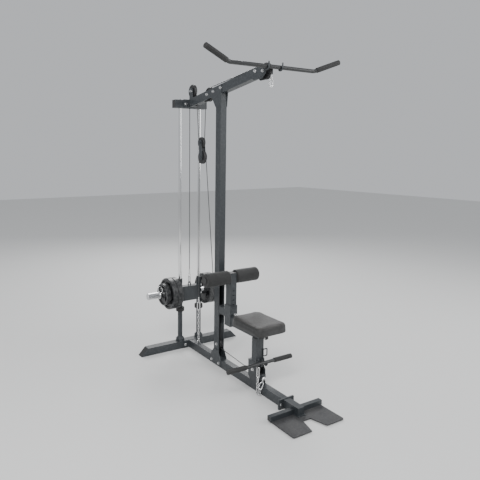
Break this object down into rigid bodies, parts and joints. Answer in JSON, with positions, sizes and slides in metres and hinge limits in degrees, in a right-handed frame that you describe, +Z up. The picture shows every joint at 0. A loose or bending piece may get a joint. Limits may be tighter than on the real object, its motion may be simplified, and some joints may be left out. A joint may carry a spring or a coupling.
{
  "type": "lat pulldown machine",
  "caption": "Plate-loaded lat pulldown and low row machine: upright with boom and cable pulleys, guided weight carriage, seat, thigh rollers, lat bar and row bar",
  "frame": {"origin": "On the floor, at the underside of the base tube, under the middle of the upright", "axes": "+Z up, -Y towards the foot plate, +Y towards the weight carriage, +X to the right"},
  "size_m": [1.0342, 1.585, 2.1677],
  "materials": {
    "frame_paint": "satin powder coat",
    "chrome": "polished",
    "zinc": "zinc plated",
    "black_plastic": "moulded",
    "nylon": "moulded nylon",
    "bushing": "moulded",
    "foam": "closed cell foam",
    "grip_rubber": "ribbed",
    "bumper_rubber": "smooth",
    "vinyl": "grained vinyl",
    "cable_sheath": "smooth sheath",
    "bar_paint": "gloss black",
    "plate_iron": "enamelled"
  },
  "bodies": {
    "frame": {"rear_stabilizer": "frame_paint", "base_tube": "frame_paint", "foot_frame": "frame_paint", "foot_plate": "frame_paint", "upright": "frame_paint", "boom": "frame_paint", "joint_plates": "frame_paint", "top_crossbar": "frame_paint", "end_caps_and_feet": "black_plastic", "front_pulley_bracket": "frame_paint", "lat_bar_hooks": "frame_paint", "rear_pulley_bracket": "frame_paint", "guide_rods": "chrome", "rod_stands": "frame_paint", "rod_bumpers": "bumper_rubber", "seat_frame": "frame_paint", "seat_post": "frame_paint", "row_bar_rest": "frame_paint", "seat_pad": "vinyl", "pin_housings": "chrome", "frame_bolts": "zinc", "pulley_axles": "zinc", "block_plates": "frame_paint", "high_cable": "cable_sheath", "low_cable": "cable_sheath", "anchor_chain": "zinc", "row_cable_end": "zinc"},
    "front_pulley_wheel": {"front_pulley": "nylon"},
    "boom_pulley_wheel": {"boom_pulley": "nylon"},
    "rear_pulley_wheel": {"rear_pulley": "nylon"},
    "block_upper_pulley_wheel": {"block_upper_pulley": "nylon"},
    "block_lower_pulley_wheel": {"block_lower_pulley": "nylon"},
    "upright_pulley_wheel": {"upright_pulley": "nylon"},
    "row_pulley_wheel": {"row_pulley": "nylon"},
    "carriage": {"carriage_frame": "frame_paint", "carriage_bushings": "bushing", "weight_sleeves": "chrome", "carriage_hook": "zinc", "carriage_cable": "cable_sheath"},
    "thigh_holder": {"thigh_post": "frame_paint", "thigh_post_caps": "black_plastic"},
    "left_roller": {"left_foam_roller": "foam"},
    "right_roller": {"right_foam_roller": "foam"},
    "thigh_pin": {"thigh_pull_pin": "chrome"},
    "seat_pin": {"seat_lock_pin": "chrome"},
    "lat_handle": {"lat_bar": "bar_paint", "lat_bar_grips": "grip_rubber"},
    "lat_hook": {"lat_snap_hook": "zinc"},
    "row_handle": {"row_bar": "bar_paint", "row_bar_grips": "grip_rubber", "row_bar_hook": "zinc", "row_chain": "zinc"},
    "left_inner_weight": {"left_inner_plate": "plate_iron"},
    "left_outer_weight": {"left_outer_plate": "plate_iron"},
    "left_small_weight": {"left_small_plate": "plate_iron"},
    "left_clamp": {"left_collar": "chrome"},
    "right_inner_weight": {"right_inner_plate": "plate_iron"},
    "right_outer_weight": {"right_outer_plate": "plate_iron"},
    "right_small_weight": {"right_small_plate": "plate_iron"},
    "right_clamp": {"right_collar": "chrome"}
  },
  "joints": [
    {"name": "carriage_lift", "type": "slide", "parent": "frame", "child": "carriage", "axis": [0, 0, 1], "range_m": [0, 1.15], "deforming": ["carriage_cable"]},
    {"name": "lat_pull", "type": "slide", "parent": "frame", "child": "lat_hook", "axis": [0, 0, -1], "range_m": [0, 1.15]},
    {"name": "front_pulley_spin", "type": "hinge", "parent": "frame", "child": "front_pulley_wheel", "pos_m": [0, -0.482, 2.072], "axis": [1, 0, 0], "continuous": true},
    {"name": "boom_pulley_spin", "type": "hinge", "parent": "frame", "child": "boom_pulley_wheel", "pos_m": [0, 0.151, 1.997], "axis": [1, 0, 0], "continuous": true},
    {"name": "rear_pulley_spin", "type": "hinge", "parent": "frame", "child": "rear_pulley_wheel", "pos_m": [0, 0.38475, 2.045], "axis": [1, 0, 0], "continuous": true},
    {"name": "block_upper_pulley_spin", "type": "hinge", "parent": "frame", "child": "block_upper_pulley_wheel", "pos_m": [0, 0.255, 1.655], "axis": [1, 0, 0], "continuous": true},
    {"name": "block_lower_pulley_spin", "type": "hinge", "parent": "frame", "child": "block_lower_pulley_wheel", "pos_m": [0, 0.242, 1.546], "axis": [1, 0, 0], "continuous": true},
    {"name": "upright_pulley_spin", "type": "hinge", "parent": "frame", "child": "upright_pulley_wheel", "pos_m": [0, -0.006, 0.165], "axis": [1, 0, 0], "continuous": true},
    {"name": "row_pulley_spin", "type": "hinge", "parent": "frame", "child": "row_pulley_wheel", "pos_m": [0, -0.445, 0.14], "axis": [1, 0, 0], "continuous": true},
    {"name": "thigh_height", "type": "slide", "parent": "frame", "child": "thigh_holder", "axis": [0, 0, 1], "range_m": [-0.1005, 0.067]},
    {"name": "left_roller_spin", "type": "hinge", "parent": "thigh_holder", "child": "left_roller", "pos_m": [-0.12, -0.1475, 0.705], "axis": [1, 0, 0], "continuous": true},
    {"name": "right_roller_spin", "type": "hinge", "parent": "thigh_holder", "child": "right_roller", "pos_m": [0.12, -0.1475, 0.705], "axis": [1, 0, 0], "continuous": true},
    {"name": "thigh_pin_pull", "type": "slide", "parent": "frame", "child": "thigh_pin", "axis": [0, -1, 0], "range_m": [0, 0.012], "stiffness_N_per_m": 600, "springref_m": -0.01},
    {"name": "seat_pin_pull", "type": "slide", "parent": "frame", "child": "seat_pin", "axis": [1, 0, 0], "range_m": [0, 0.012], "stiffness_N_per_m": 600, "springref_m": -0.01},
    {"name": "lat_bar_lift", "type": "slide", "parent": "frame", "child": "lat_handle", "axis": [0, 0, 1], "range_m": [0, 0.08]},
    {"name": "row_bar_lift", "type": "slide", "parent": "frame", "child": "row_handle", "axis": [0, 0, 1], "range_m": [0, 0.06], "deforming": ["row_chain"]},
    {"name": "left_inner_plate_slide", "type": "slide", "parent": "carriage", "child": "left_inner_weight", "axis": [-1, 0, 0], "range_m": [0, 0.26]},
    {"name": "left_outer_plate_slide", "type": "slide", "parent": "left_inner_weight", "child": "left_outer_weight", "axis": [-1, 0, 0], "range_m": [0, 0.216]},
    {"name": "left_small_plate_slide", "type": "slide", "parent": "left_outer_weight", "child": "left_small_weight", "axis": [-1, 0, 0], "range_m": [0, 0.172]},
    {"name": "left_collar_slide", "type": "slide", "parent": "left_small_weight", "child": "left_clamp", "axis": [-1, 0, 0], "range_m": [0, 0.13]},
    {"name": "right_inner_plate_slide", "type": "slide", "parent": "carriage", "child": "right_inner_weight", "axis": [1, 0, 0], "range_m": [0, 0.26]},
    {"name": "right_outer_plate_slide", "type": "slide", "parent": "right_inner_weight", "child": "right_outer_weight", "axis": [1, 0, 0], "range_m": [0, 0.216]},
    {"name": "right_small_plate_slide", "type": "slide", "parent": "right_outer_weight", "child": "right_small_weight", "axis": [1, 0, 0], "range_m": [0, 0.172]},
    {"name": "right_collar_slide", "type": "slide", "parent": "right_small_weight", "child": "right_clamp", "axis": [1, 0, 0], "range_m": [0, 0.13]}
  ],
  "couplings": [
    {"joint": "lat_pull", "follows": "carriage_lift", "ratio": 1},
    {"joint": "front_pulley_spin", "follows": "carriage_lift", "rad_per_m": 21.164},
    {"joint": "boom_pulley_spin", "follows": "carriage_lift", "rad_per_m": 21.164},
    {"joint": "rear_pulley_spin", "follows": "carriage_lift", "rad_per_m": 21.164},
    {"joint": "block_upper_pulley_spin", "follows": "carriage_lift", "rad_per_m": -26.144},
    {"joint": "upright_pulley_spin", "follows": "row_pulley_spin", "ratio": 1.2975},
    {"joint": "block_lower_pulley_spin", "follows": "row_pulley_spin", "ratio": -0.4153}
  ]
}
